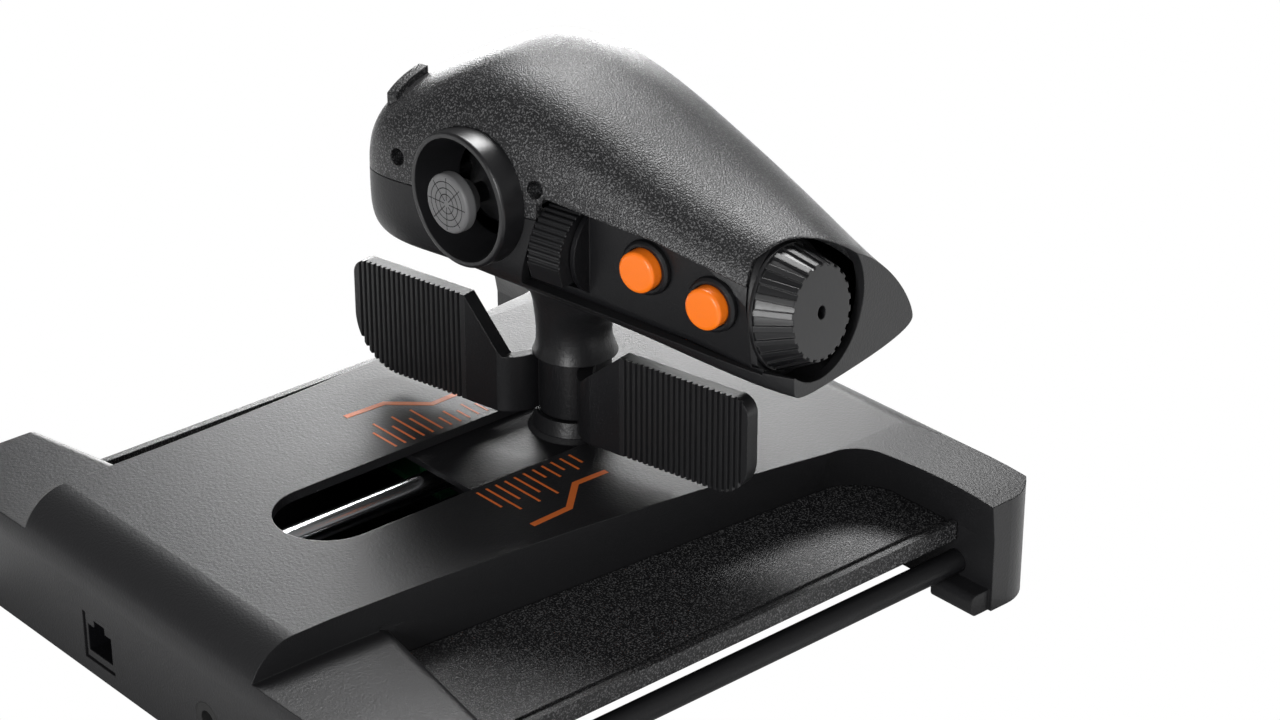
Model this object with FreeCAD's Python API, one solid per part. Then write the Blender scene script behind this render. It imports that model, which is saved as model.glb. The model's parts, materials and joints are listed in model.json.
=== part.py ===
"""Desk throttle for a flight simulator: a hand grip that slides on two steel rails in a slotted base.

Frame: millimetres, origin on the table under the middle of the base.
+Y is forward (away from the user), +X is the user's right, +Z is up.
The grip is turned a little about the vertical, so its pieces are drawn in a grip frame
(u along the grip towards the index finger, v out of the finger side, z up) and then placed.
"""
import FreeCAD, Part
import math
import os

V = FreeCAD.Vector
X_AXIS, Y_AXIS, Z_AXIS = V(1, 0, 0), V(0, 1, 0), V(0, 0, 1)
os.makedirs("parts", exist_ok=True)

# ---------------------------------------------------------------- driving dimensions
# base
BASE_WIDTH = 188.0            # over the corner legs
BASE_LENGTH = 196.0
DECK_HEIGHT = 37.0            # top of the deck above the table
WALL = 2.5                    # moulded wall
END_RADIUS = 13.0             # rounding of the deck into the end walls
CORNER_RADIUS = 12.0
WING_DROP = 8.0               # the front shoulders lie this far below the deck
CROWN_DROP = 6.0              # the end blocks fall away this much at the corners
FOOT_HEIGHT = 2.0
FOOT_RADIUS = 7.0
DECK_STATIONS = (75.0, 14.5, -65.6)  # y at the front, middle and rear of a deck edge
DECK_EDGE = {"left": (39.0, 43.7, 57.4), "right": (53.0, 54.6,
                                                   62.0)}     # distance from the middle at those
FOOT_EDGE = {"left": (39.0, 42.5, 47.4), "right": (53.0, 53.5, 55.0)}     # the wall's foot at the tray
RECESS_FRONT = 59.0           # front end of the side recesses at the deck
RECESS_SLANT = 0.19           # it runs forward towards the outside, per unit of width
DECK_CORNER = ((0.0, -61.5), (2.6, -68.0), (8.8,
                                            -71.4))     # rounded inner corner, from the deck edge outwards
FOOT_CORNER = ((0.0, -66.0), (3.2, -75.2), (12.0, -80.3))
END_SLANT = -0.24             # the deck's rear edge runs back towards the outside
SHOULDER_ROUND = 3.5
TOE = (79.5, 6.0, 7.6)        # inner side, length and top of the rear legs' toes
TRAY_TOP = 21.0
TRAY_WALL = 2.5
LIP_X = 82.0                  # outer edge of a tray
LIP_WIDTH = 2.0
ROD_RADIUS = 3.0
ROD_HEIGHT = 11.0
FIT = 0.05                    # radial clearance of pieces that do not move
RUN = 0.05                    # radial clearance of pieces that slide or turn
GAP = 0.3                     # clearance between bodies
# slot, rails and carriage
SLOT_WIDTH = 27.0
SLOT_FRONT = 60.0
SLOT_REAR = -58.0
RAIL_RADIUS = 3.0
RAIL_SPACING = 18.0
RAIL_HEIGHT = 28.0
RAIL_END = 89.0
HOLDER_THICK = 5.0
NECK_Y = -29.0                # neck axis at rest
SLIDE_BACK = 16.0
SLIDE_FORWARD = 62.0
CARRIAGE_SIZE = (44.0, 58.0, 12.0)
BUSH_LENGTH = 14.0
BUSH_WALL = 1.6
COVER_WIDTH = 34.0
COVER_AHEAD = 41.0
COVER_BEHIND = 38.0
COVER_THICK = 1.5
TOOTH_MODULE = 0.8
PINION_TEETH = 16
GEAR_WIDTH = 4.0
BACKLASH = 0.35
# neck and rudder rocker
NECK_RADIUS = 6.0
COLLAR_RADIUS = 10.0
HUB_RADIUS = 9.0
HUB_HEIGHT = 15.0
PADDLE_AHEAD = 14.6           # front face of the paddles ahead of the neck axis
PADDLE_THICK = 4.0
PADDLE_BOTTOM = 39.6
PADDLE_LEFT = (13.0, 23.0, 59.0, 68.0)       # inner edge, start of ribs, outer edge, top height
PADDLE_RIGHT = (16.0, 25.0, 62.5, 65.5)
RIB_PITCH = 1.6
RIB_DEPTH = 0.8
# grip
GRIP_YAW = 11.0
GRIP_WALL = 2.4
SEAM_GAP = 0.2
PEDESTAL_BOTTOM = 54.8
PEDESTAL_RADIUS = 10.5
# stations along the grip: u, front v, rear v, bottom z, top z, ridge v, widest z, squareness of the rear top
GRIP_SECTIONS = (
    (44.3, 20.5, -28.0, 85.0, 111.0, -2.0, 98.0, 2.3),
    (42.6, 25.0, -33.5, 80.8, 117.5, -3.0, 99.0, 2.25),
    (37.0, 27.5, -37.0, 79.0, 121.5, -4.0, 100.0, 2.15),
    (26.0, 28.0, -38.0, 78.5, 127.5, -4.0, 100.0, 2.15),
    (8.0, 28.0, -38.5, 78.0, 132.0, -4.0, 99.0, 2.1),
    (-15.0, 27.0, -38.0, 77.0, 126.2, -3.0, 95.0, 2.0),
    (-45.0, 24.0, -35.5, 74.5, 113.2, -2.0, 86.0, 1.75),
    (-70.0, 20.5, -31.0, 72.0, 104.8, -1.0, 77.5, 1.45),
    (-78.0, 18.5, -29.8, 71.5, 101.8, -1.0, 75.5, 1.38),
)
RIM = (37.2, 2.6, 123.2, 9.0, 21.0)  # raised rim at the index end: u, width, top, inner and outer v
SEAM = ((60.0, 100.3), (-12.3, 101.8), (-12.5, 107.6), (-41.3, 103.3), (-70.5, 95.7), (-75.0, 94.5))
PANEL_OUTLINE = ((-12.5, 107.6), (-41.3, 103.3), (-70.5, 95.7), (-70.5, 77.5), (-50.0, 80.0), (-5.0, 83.5))
PANEL_FACE = (22.3, 0.035)    # v of the panel's face at u = 0, and its change along u
PANEL_THICK = 2.2
# mini stick
STICK_U = 7.0                 # pivot of the stick
STICK_Z = 102.6
STICK_PIVOT = 13.0
STICK_SWING = 9.0             # the stick's axis is swung towards the index finger
STICK_FRONT = 34.6
CAP_RADIUS = 7.3
CAP_THICK = 3.4
BEZEL_FRONT = 31.6
BEZEL_BACK = 20.5
BEZEL_RADIUS = 16.6
BEZEL_RIM = 1.5
WELL_RADIUS = 11.6
YOKE_RADIUS = 8.0
YOKE_BORE = 5.6
# rocker switch
ROCKER_U = (-20.2, -11.0)
ROCKER_PIVOT = (17.5, 95.0)
ROCKER_AXLE = 1.5
DIVIDER_WIDTH = 1.3           # curved wall between the rocker and the buttons
DIVIDER_RISE = 6.0
# front buttons: u, z
BUTTONS = ((-38.2, 95.4), (-56.6, 91.2))
BUTTON_RADIUS = 5.0
BUTTON_PROUD = 4.6
BUTTON_TRAVEL = 1.2
# antenna knob
KNOB_V = 7.5
KNOB_Z = 89.0
KNOB_BASE_U = -68.0
KNOB_LENGTH = 9.5
KNOB_BASE_RADIUS = 15.0
KNOB_FACE_RADIUS = 11.4
KNOB_TILT = 7.5
KNOB_RIBS = 24
# thumb side
THUMB_WINDOW = (-6.0, 34.0, 84.0, 113.0)      # u and z limits
THUMB_FACE = -34.0
THUMB_THICK = 2.0
POV_HAT = (20.0, 103.0, 6.6)                  # u, z, cap radius
HAT_TWO = (27.0, 90.2, 4.2)
HAT_THREE = (13.0, 90.2, 4.2)
THUMB_BUTTON = (2.0, 103.0, 4.0)
BOARD_V = -20.5
BOARD_THICK = 1.6

# inner pieces and fastenings
JACK = (22.0, 12.0, 16.0, 12.0)      # x of the pedal jack's middle, width, depth and height
JACK_LOW = 6.0
GLAND_X = -22.0
GLAND_RADIUS = 4.5
GLAND_BORE = 2.4
GLAND_Z = 12.0
LEDGE = FOOT_HEIGHT + WALL           # top face of the lower shell's floor
INSERT_SPACING = (60.0, 110.0)
INSERT_RADIUS = 4.5
INSERT_BORE = 2.5
INSERT_LENGTH = 10.0
POST_TOP = 10.0
FRICTION_Y = -8.0
FRICTION_HEAD = 4.5
FRICTION_STEM = 3.0
CARRIAGE_TOP = RAIL_HEIGHT + 4.6
CARRIAGE_LOW = CARRIAGE_TOP - CARRIAGE_SIZE[2]
COVER_TOP = DECK_HEIGHT - WALL - GAP
COVER_LOW = COVER_TOP - COVER_THICK
RACK_PITCH_X = -27.0
PINION_RADIUS = TOOTH_MODULE * PINION_TEETH / 2
PINION_X = RACK_PITCH_X - PINION_RADIUS
PINION_Y = -6.0
GEAR_LOW = 23.0
TOOTH_PITCH = math.pi * TOOTH_MODULE
COLLAR_TOP = PADDLE_BOTTOM - 0.4
HUB_TOP = PEDESTAL_BOTTOM - GAP
FRONT_TOP, REAR_LOW, FRONT_LOW = 3.2, 2.6, 4.0     # squareness of the other quarters of a section
SCREW_HOLES = ((31.0, 107.0), (-10.0, 109.0))
SCREW_HEAD = 2.0
HAT_PIVOT = THUMB_FACE + THUMB_THICK + 4.0


# ---------------------------------------------------------------- small helpers
def save(shape, node):
    """Write one node."""
    shape.exportStep("parts/" + node + ".step")


def box(low, high):
    """Box from its lowest to its highest corner."""
    return Part.makeBox(high[0] - low[0], high[1] - low[1], high[2] - low[2], V(*low))


def rod(radius, start, end):
    """Cylinder between two points."""
    axis = V(*end) - V(*start)
    return Part.makeCylinder(radius, axis.Length, V(*start), axis)


def cone(radius_1, radius_2, start, end):
    """Frustum between two points."""
    axis = V(*end) - V(*start)
    return Part.makeCone(radius_1, radius_2, axis.Length, V(*start), axis)


def prism(points, vector):
    """Closed polygon of 3-D points swept along a vector."""
    corners = [V(*p) for p in points]
    return Part.Face(Part.makePolygon(corners + corners[:1])).extrude(V(*vector))


def arc_prism(edges, vector):
    """Outline of edges swept along a vector."""
    wire = Part.Wire(Part.__sortEdges__(edges))
    return Part.Face(wire).extrude(V(*vector))


def fuse(shapes):
    """Union of a list as one clean solid."""
    shapes = list(shapes)
    whole = shapes[0]
    for shape in shapes[1:]:
        whole = whole.fuse(shape)
    return whole.removeSplitter()


def cut_all(shape, tools):
    """Shape less each tool."""
    for tool in tools:
        shape = shape.cut(tool)
    return shape


def largest(shape):
    """Biggest solid of a shape, without the crumbs of a cut."""
    return max(shape.Solids, key=lambda solid: solid.Volume)


def place_grip(shape):
    """Move a shape from the grip frame to the base frame."""
    moved = shape.copy()
    moved.rotate(V(0, 0, 0), Z_AXIS, GRIP_YAW)
    moved.translate(V(0, NECK_Y, 0))
    return moved


# ---------------------------------------------------------------- base
def edge_points(side, level, inset, front, rear):
    """Three points of a deck edge or of its wall's foot between two values of y, and the side's sign."""
    sign = -1.0 if side == "left" else 1.0
    halves = (DECK_EDGE if level == "deck" else FOOT_EDGE)[side]
    stations = [V(sign * (x - inset), y, 0) for x, y in zip(halves, DECK_STATIONS)]
    circle = Part.Arc(*stations).toShape().Curve
    points = []
    for y in (front, 0.5 * (front + rear), rear):
        offset = math.sqrt(circle.Radius ** 2 - (y - circle.Center.y) ** 2)
        points.append(V(circle.Center.x - sign * offset, y, 0))
    return points, sign


def recess_wire(side, level, inset, z):
    """Plan outline of a side recess, grown by inset, as a closed wire at height z."""
    corner = DECK_CORNER if level == "deck" else FOOT_CORNER
    slant = END_SLANT if level == "deck" else 0.0
    front = RECESS_FRONT + inset
    points, sign = edge_points(side, level, inset, front, corner[0][1])
    start = points[2]
    turn = V(start.x + sign * (corner[1][0] + 0.3 * inset), corner[1][1] - 0.7 * inset, 0)
    end = V(start.x + sign * (corner[2][0] + inset), corner[2][1] - inset, 0)
    outer = sign * 0.6 * BASE_WIDTH
    rear_end = V(outer, end.y + slant * abs(outer - end.x), 0)
    front_end = V(outer, front + RECESS_SLANT * abs(outer - points[0].x), 0)
    edges = [Part.Arc(*points).toShape(), Part.Arc(start, turn, end).toShape(), Part.LineSegment(end,
                                                                                                 rear_end).toShape(),
             Part.LineSegment(rear_end, front_end).toShape(), Part.LineSegment(front_end, points[0]).toShape()]
    wire = Part.Wire(edges)
    wire.translate(V(0, 0, z))
    return wire


def foot_prism(side, inset, low, high):
    """Lower part of a side recess, with upright walls."""
    return Part.Face(recess_wire(side, "foot", inset, low)).extrude(V(0, 0, high - low))


def recess_solid(side, inset):
    """Whole side recess: upright below the tray's face, leaning out to the deck's edge above it."""
    above = Part.makeLoft([recess_wire(side, "foot", inset, TRAY_TOP), recess_wire(side, "deck", inset,
                                                                                   DECK_HEIGHT + 0.01)], True, True)
    cap = Part.Face(recess_wire(side, "deck", inset, DECK_HEIGHT + 0.01)).extrude(V(0, 0, 5))
    return fuse([foot_prism(side, inset, -10.0, TRAY_TOP), above, cap])


def cover_solid(inset, bottom):
    """Outer form of the base cover, shrunk by inset on every side but the bottom."""
    half_w = BASE_WIDTH / 2 - inset
    half_l = BASE_LENGTH / 2 - inset
    top = DECK_HEIGHT - inset
    radius = END_RADIUS - inset
    plan = box((-half_w, -half_l, bottom), (half_w, half_l, top))
    corners = [e for e in plan.Edges if abs(e.tangentAt(e.FirstParameter).z) > 0.9]
    plan = plan.makeFillet(CORNER_RADIUS - inset, corners)
    slab = box((-half_w, -half_l, bottom), (half_w, half_l, top))
    ends = [e for e in slab.Edges if abs(e.tangentAt(e.FirstParameter).x) > 0.9
            and e.CenterOfMass.z > top - 1]
    slab = slab.makeFillet(radius, ends)
    crown_edges = [
        Part.LineSegment(V(-half_w, 0, bottom), V(half_w, 0, bottom)).toShape(),
        Part.LineSegment(V(half_w, 0, bottom), V(half_w, 0, top - CROWN_DROP)).toShape(),
        Part.Arc(V(half_w, 0, top - CROWN_DROP), V(0.82 * half_w, 0, top - 0.36 * CROWN_DROP),
                 V(0.6 * half_w, 0, top)).toShape(),
        Part.LineSegment(V(0.6 * half_w, 0, top), V(-0.6 * half_w, 0, top)).toShape(),
        Part.Arc(V(-0.6 * half_w, 0, top), V(-0.82 * half_w, 0, top - 0.36 * CROWN_DROP),
                 V(-half_w, 0, top - CROWN_DROP)).toShape(),
        Part.LineSegment(V(-half_w, 0, top - CROWN_DROP), V(-half_w, 0, bottom)).toShape(),
    ]
    crown = arc_prism(crown_edges, (0, 2 * half_l, 0))
    crown.translate(V(0, -half_l, 0))
    body = plan.common(slab).common(crown)
    for side in ("left", "right"):
        body = body.cut(recess_solid(side, inset))
        body = body.cut(shoulder_prism(side, inset))
    return body


def shoulder_prism(side, inset):
    """Space above a front shoulder, ending behind it in a rounded fall towards the tray."""
    rear = RECESS_FRONT - 3.0
    points, sign = edge_points(side, "deck", inset, DECK_STATIONS[0], rear)
    reach = BASE_LENGTH
    low = DECK_HEIGHT - WING_DROP - inset
    corners = [(points[2].x, rear), (points[0].x, DECK_STATIONS[0]), (points[0].x, reach), (sign * reach,
                                                                                            reach), (sign * reach, rear)]
    return prism([(x, y, low) for x, y in corners], (0, 0, DECK_HEIGHT))


def shoulder_round(side):
    """Sliver that rounds a shoulder's rear edge over into the recess."""
    points, sign = edge_points(side, "deck", 0.0, RECESS_FRONT, RECESS_FRONT - 20)
    top = DECK_HEIGHT - WING_DROP
    r = SHOULDER_ROUND
    profile = [Part.LineSegment(V(0, -1, -r), V(0, -1, 1)).toShape(), Part.LineSegment(V(0, -1, 1), V(0,
                                                                                                      r, 1)).toShape(),
               Part.LineSegment(V(0, r, 1), V(0, r, 0)).toShape(),
               Part.Arc(V(0, r, 0), V(0, 0.293 * r, -0.293 * r), V(0, 0, -r)).toShape(),
               Part.LineSegment(V(0, 0, -r), V(0, -1, -r)).toShape()]
    sliver = arc_prism(profile, (BASE_WIDTH, 0, 0))
    turn = math.degrees(math.atan(RECESS_SLANT))
    if sign < 0:
        sliver = sliver.mirror(V(0, 0, 0), X_AXIS)
    sliver.rotate(V(0, 0, 0), Z_AXIS, sign * turn)
    sliver.translate(V(points[0].x, RECESS_FRONT, top))
    return sliver


def leg_toe(sign):
    """Short toe in front of a rear leg, under the side rod."""
    inner, length, top = TOE
    rear = FOOT_CORNER[2][1]
    x_low, x_high = sorted((sign * inner, sign * (BASE_WIDTH / 2 - 1.0)))
    toe = box((x_low, rear - WALL / 2, FOOT_HEIGHT), (x_high, rear + length, top))
    edges = [e for e in toe.Edges if abs(e.tangentAt(e.FirstParameter).x) > 0.9
             and e.CenterOfMass.y > rear + length - 0.5]
    return toe.makeFillet(1.8, edges)


def slot_prism(margin, low, high):
    """Deck slot with rounded ends, grown by margin."""
    half = SLOT_WIDTH / 2 + margin
    front = SLOT_FRONT - SLOT_WIDTH / 2
    rear = SLOT_REAR + SLOT_WIDTH / 2
    bar = box((-half, rear, low), (half, front, high))
    return fuse([bar, rod(half, (0, rear, low), (0, rear, high)), rod(half, (0, front, low), (0, front,
                                                                                              high))])


def top_cover():
    """I-shaped moulding: deck with the slot, end blocks with corner legs, front shoulders."""
    shell = cover_solid(0.0, FOOT_HEIGHT).cut(cover_solid(WALL, FOOT_HEIGHT - 5.0))
    shell = fuse([largest(shell), leg_toe(-1.0), leg_toe(1.0)])
    shell = cut_all(shell, [shoulder_round("left"), shoulder_round("right")])
    cuts = [slot_prism(0.0, DECK_HEIGHT - 2 * WALL, DECK_HEIGHT + 1)]
    for sign in (-1, 1):
        x = sign * LIP_X
        cuts.append(rod(ROD_RADIUS + FIT, (x, -BASE_LENGTH / 2 + 2 * WALL, ROD_HEIGHT),
                        (x, BASE_LENGTH / 2 - 2 * WALL, ROD_HEIGHT)))
    jack_x, jack_w, jack_d, jack_h = JACK
    front = BASE_LENGTH / 2
    cuts.append(box((jack_x - jack_w / 2 - GAP, front - 2 * WALL, JACK_LOW - GAP),
                    (jack_x + jack_w / 2 + GAP, front + 1, JACK_LOW + jack_h + GAP)))
    cuts.append(rod(GLAND_RADIUS + FIT, (GLAND_X, front - 2 * WALL, GLAND_Z), (GLAND_X, front + 1,
                                                                               GLAND_Z)))
    return largest(cut_all(shell, cuts))


def insert_points():
    """Plan positions of the four threaded inserts."""
    half_x, half_y = INSERT_SPACING[0] / 2, INSERT_SPACING[1] / 2
    return [(x, y) for x in (-half_x, half_x) for y in (-half_y, half_y)]


def foot_points():
    """Plan positions of the four rubber feet."""
    x = BASE_WIDTH / 2 - CORNER_RADIUS - 2
    y = BASE_LENGTH / 2 - 10
    return [(sx * x, sy * y) for sx in (-1, 1) for sy in (-1, 1)]


def post_points():
    """Plan positions of the posts under the base circuit board."""
    return [(x, y) for x in (29.0, 45.0) for y in (-41.0, -11.0)]


def bottom_shell():
    """Floor of the base with bosses, posts and the rail seats' ledges."""
    floor = cover_solid(WALL + GAP, -5.0).common(box((-200, -200, FOOT_HEIGHT), (200, 200, LEDGE)))
    adds = [rod(INSERT_RADIUS + 2.5, (x, y, LEDGE - 0.5), (x, y, FOOT_HEIGHT + INSERT_LENGTH)) for x,
            y in insert_points()]
    adds += [rod(2.5, (x, y, LEDGE - 0.5), (x, y, POST_TOP)) for x, y in post_points()]
    adds.append(rod(FRICTION_HEAD + 2, (0, FRICTION_Y, LEDGE - 0.5), (0, FRICTION_Y, 12.0)))
    cuts = [rod(INSERT_RADIUS + FIT, (x, y, 0), (x, y, 20)) for x, y in insert_points()]
    cuts.append(rod(FRICTION_HEAD + RUN, (0, FRICTION_Y, 0), (0, FRICTION_Y, FOOT_HEIGHT + 3.0)))
    cuts.append(rod(FRICTION_STEM + RUN, (0, FRICTION_Y, 0), (0, FRICTION_Y, 20.0)))
    return largest(cut_all(fuse([largest(floor)] + adds), cuts))


def ballast_plate():
    """Steel weight on the floor, cut away round the bosses."""
    plate = box((-34, -78, LEDGE), (24, 78, LEDGE + 3.5))
    cuts = [rod(INSERT_RADIUS + 2.5 + GAP, (x, y, 0), (x, y, 20)) for x, y in insert_points()]
    cuts.append(rod(FRICTION_HEAD + 2 + GAP, (0, FRICTION_Y, 0), (0, FRICTION_Y, 20)))
    cuts.append(box((PINION_X - 8, PINION_Y - 8, 0), (PINION_X + 8, PINION_Y + 8, 20)))
    return largest(cut_all(plate, cuts))


def side_tray(side):
    """Tray that hangs between the end blocks, with a groove inside its raised lip."""
    sign = -1.0 if side == "left" else 1.0
    low = TRAY_TOP - TRAY_WALL
    lip_in = LIP_X - LIP_WIDTH
    floor = foot_prism(side, -GAP, low, TRAY_TOP).common(box((-LIP_X, -200, 0), (LIP_X, 200, 60)))
    lip_low, lip_high = sorted((sign * lip_in, sign * LIP_X))
    lip_zone = box((lip_low, -200, 0), (lip_high, 200, 60))
    lip = foot_prism(side, -GAP, low - 1.5, TRAY_TOP + 0.8).common(lip_zone)
    tray = fuse([largest(floor), largest(lip)])
    groove_low, groove_high = sorted((sign * (lip_in - 2.2), sign * lip_in))
    groove = box((groove_low, -200, TRAY_TOP - 0.9), (groove_high, 200, TRAY_TOP + 1))
    return largest(tray.cut(groove))


def side_rod(side):
    """Round bar under a tray's lip, its ends let into the end blocks."""
    sign = -1.0 if side == "left" else 1.0
    front = RECESS_FRONT + RECESS_SLANT * LIP_X
    return rod(ROD_RADIUS, (sign * LIP_X, FOOT_CORNER[2][1] - 2 * WALL, ROD_HEIGHT), (sign * LIP_X, front,
                                                                                      ROD_HEIGHT))


def guide_rail(sign):
    """Polished steel rail."""
    x = sign * RAIL_SPACING / 2
    return rod(RAIL_RADIUS, (x, -RAIL_END, RAIL_HEIGHT), (x, RAIL_END, RAIL_HEIGHT))


def rail_holder(sign):
    """Upright block that clamps both rails at one end of the base."""
    y_out = sign * RAIL_END
    y_in = sign * (RAIL_END - HOLDER_THICK)
    low_y, high_y = min(y_out, y_in), max(y_out, y_in)
    half = RAIL_SPACING / 2 + RAIL_RADIUS + 3.0
    top = RAIL_HEIGHT + RAIL_RADIUS + 1.0
    post = box((-half, low_y, LEDGE), (half, high_y, top))
    foot = box((-half, low_y - (6.0 if sign > 0 else 0.0), LEDGE), (half,
                                                                    high_y + (0.0 if sign > 0 else 6.0), LEDGE + 3))
    bores = [rod(RAIL_RADIUS + FIT, (s * RAIL_SPACING / 2, low_y - 1, RAIL_HEIGHT), (s * RAIL_SPACING / 2,
                                                                                     high_y + 1, RAIL_HEIGHT))
             for s in (-1, 1)]
    bores += [rod(1.2 + FIT, (s * 8.0, sign * (RAIL_END - HOLDER_THICK - 3.0), 0), (s * 8.0,
                                                                                    sign * (RAIL_END - HOLDER_THICK - 3.0), LEDGE + 4))
              for s in (-1, 1)]
    window = box((-RAIL_SPACING / 4, low_y - 8, LEDGE + 6), (RAIL_SPACING / 4, high_y + 8, RAIL_HEIGHT - 4))
    return largest(cut_all(fuse([post, foot]), bores + [window]))


def rubber_feet():
    """Four round feet under the corners."""
    return Part.makeCompound([rod(FOOT_RADIUS, (x, y, 0), (x, y, FOOT_HEIGHT)) for x, y in foot_points()])


def threaded_inserts():
    """Four brass inserts in the floor, open downwards."""
    solids = []
    for x, y in insert_points():
        sleeve = rod(INSERT_RADIUS, (x, y, FOOT_HEIGHT), (x, y, FOOT_HEIGHT + INSERT_LENGTH))
        solids.append(sleeve.cut(rod(INSERT_BORE, (x, y, 0), (x, y, 40))))
    return Part.makeCompound(solids)


def screw(head_radius, head_height, shank_radius, length, at, axis):
    """Pan-head cross-recess screw with its head's seat at a point and its shank along axis."""
    axis = V(*axis).normalize()
    seat = V(*at)
    head = Part.makeCone(head_radius, 0.7 * head_radius, head_height, seat, axis * -1)
    shank = Part.makeCylinder(shank_radius, length, seat, axis)
    side = axis.cross(X_AXIS)
    if side.Length < 0.1:
        side = axis.cross(Y_AXIS)
    side.normalize()
    depth = 0.6 * head_height
    body = head.fuse(shank)
    for direction in (side, axis.cross(side)):
        blade = Part.makeBox(1.2 * head_radius, 0.5 * shank_radius, 2 * depth)
        blade.translate(V(-0.6 * head_radius, -0.25 * shank_radius, -depth))
        turn = FreeCAD.Rotation(direction, axis.cross(direction), axis, "ZXY")
        blade.Placement = FreeCAD.Placement(seat - axis * head_height, turn).multiply(blade.Placement)
        body = body.cut(blade)
    return body


def base_screws():
    """Screws that hold the rail blocks down on the floor."""
    y = RAIL_END - HOLDER_THICK - 3.0
    solids = []
    for sx in (-1, 1):
        for sy in (-1, 1):
            solids.append(screw(2.4, 1.6, 1.2, 2.4, (sx * 8.0, sy * y, LEDGE + 3), (0, 0, -1)))
    return Part.makeCompound(solids)


def base_board():
    """Circuit board on the posts, with a chip and two plugs."""
    board = box((26, -46, POST_TOP), (48, -6, POST_TOP + 1.6))
    chip = box((32, -36, POST_TOP + 1.6), (42, -26, POST_TOP + 2.8))
    plugs = [box((30, y, POST_TOP + 1.6), (38, y + 5, POST_TOP + 7)) for y in (-43.5, -14.0)]
    return fuse([board, chip] + plugs)


def pedal_jack():
    """Six-pole modular socket in the front wall."""
    x, w, d, h = JACK
    front = BASE_LENGTH / 2 - 0.4
    body = box((x - w / 2, front - d, JACK_LOW), (x + w / 2, front, JACK_LOW + h))
    mouth = box((x - 4.85, front - 12, JACK_LOW + 2), (x + 4.85, front + 1, JACK_LOW + 9))
    latch = box((x - 2.2, front - 12, JACK_LOW + 8.9), (x + 2.2, front + 1, JACK_LOW + 10.8))
    stand = box((x - w / 2, front - d, LEDGE), (x + w / 2, front - 4, JACK_LOW))
    return fuse([cut_all(body, [mouth, latch]), stand])


def cable_gland():
    """Rubber outlet of the data lead, in the front wall."""
    front = BASE_LENGTH / 2
    barrel = rod(GLAND_RADIUS, (GLAND_X, front - WALL - 4, GLAND_Z), (GLAND_X, front, GLAND_Z))
    flange = rod(GLAND_RADIUS + 2, (GLAND_X, front - WALL - 2.5, GLAND_Z), (GLAND_X, front - WALL - GAP,
                                                                            GLAND_Z))
    return fuse([barrel, flange]).cut(rod(GLAND_BORE, (GLAND_X, front - 20, GLAND_Z), (GLAND_X, front + 1,
                                                                                       GLAND_Z)))


# ---------------------------------------------------------------- carriage


def bush_points():
    """Front and rear ends of the four sleeves on the rails."""
    half = CARRIAGE_SIZE[1] / 2
    spans = []
    for sx in (-1, 1):
        for y in (NECK_Y - half + 1, NECK_Y + half - 1 - BUSH_LENGTH):
            spans.append((sx * RAIL_SPACING / 2, y))
    return spans


def carriage():
    """Block that carries the neck and runs on the rails."""
    w, l, h = CARRIAGE_SIZE
    block = box((-w / 2, NECK_Y - l / 2, CARRIAGE_LOW), (w / 2, NECK_Y + l / 2, CARRIAGE_TOP))
    outer = RAIL_RADIUS + BUSH_WALL + FIT
    cuts = []
    for sign in (-1, 1):
        x = sign * RAIL_SPACING / 2
        cuts.append(rod(outer, (x, NECK_Y - l, RAIL_HEIGHT), (x, NECK_Y + l, RAIL_HEIGHT)))
    cuts.append(rod(NECK_RADIUS - 2.2, (0, NECK_Y, 0), (0, NECK_Y, 60)))
    relief = box((-RAIL_SPACING / 2 - 2, NECK_Y - l / 4, CARRIAGE_LOW - 1), (RAIL_SPACING / 2 + 2,
                                                                             NECK_Y + l / 4, CARRIAGE_LOW + 1.5))
    seat = rod(NECK_RADIUS + FIT, (0, NECK_Y, CARRIAGE_LOW + 3), (0, NECK_Y, CARRIAGE_TOP + 1))
    return largest(cut_all(block, cuts + [relief, seat]))


def rail_bushes():
    """Four bronze sleeves."""
    solids = []
    for x, y in bush_points():
        sleeve = rod(RAIL_RADIUS + BUSH_WALL, (x, y, RAIL_HEIGHT), (x, y + BUSH_LENGTH, RAIL_HEIGHT))
        solids.append(sleeve.cut(rod(RAIL_RADIUS + RUN, (x, y - 1, RAIL_HEIGHT), (x, y + BUSH_LENGTH + 1,
                                                                                  RAIL_HEIGHT))))
    return Part.makeCompound(solids)


def slot_cover():
    """Thin plate that travels under the deck and closes the slot round the neck."""
    half = COVER_WIDTH / 2
    plate = box((-half, NECK_Y - COVER_BEHIND, COVER_LOW), (half, NECK_Y + COVER_AHEAD, COVER_TOP))
    posts = [box((x - 3, NECK_Y + y - 3, CARRIAGE_TOP), (x + 3, NECK_Y + y + 3,
                                                         COVER_LOW + 0.1)) for x in (-12, 12) for y in (-20, 20)]
    if COVER_LOW - CARRIAGE_TOP < 0.05:
        posts = []
    hump = cone(SLOT_WIDTH / 2 - 1.5, SLOT_WIDTH / 2 - 2.6, (0, NECK_Y, COVER_TOP - 0.1), (0, NECK_Y,
                                                                                           COVER_TOP + 1.2))
    body = fuse([plate, hump] + posts)
    return largest(body.cut(rod(NECK_RADIUS + FIT, (0, NECK_Y, 0), (0, NECK_Y, 60))))


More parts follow.
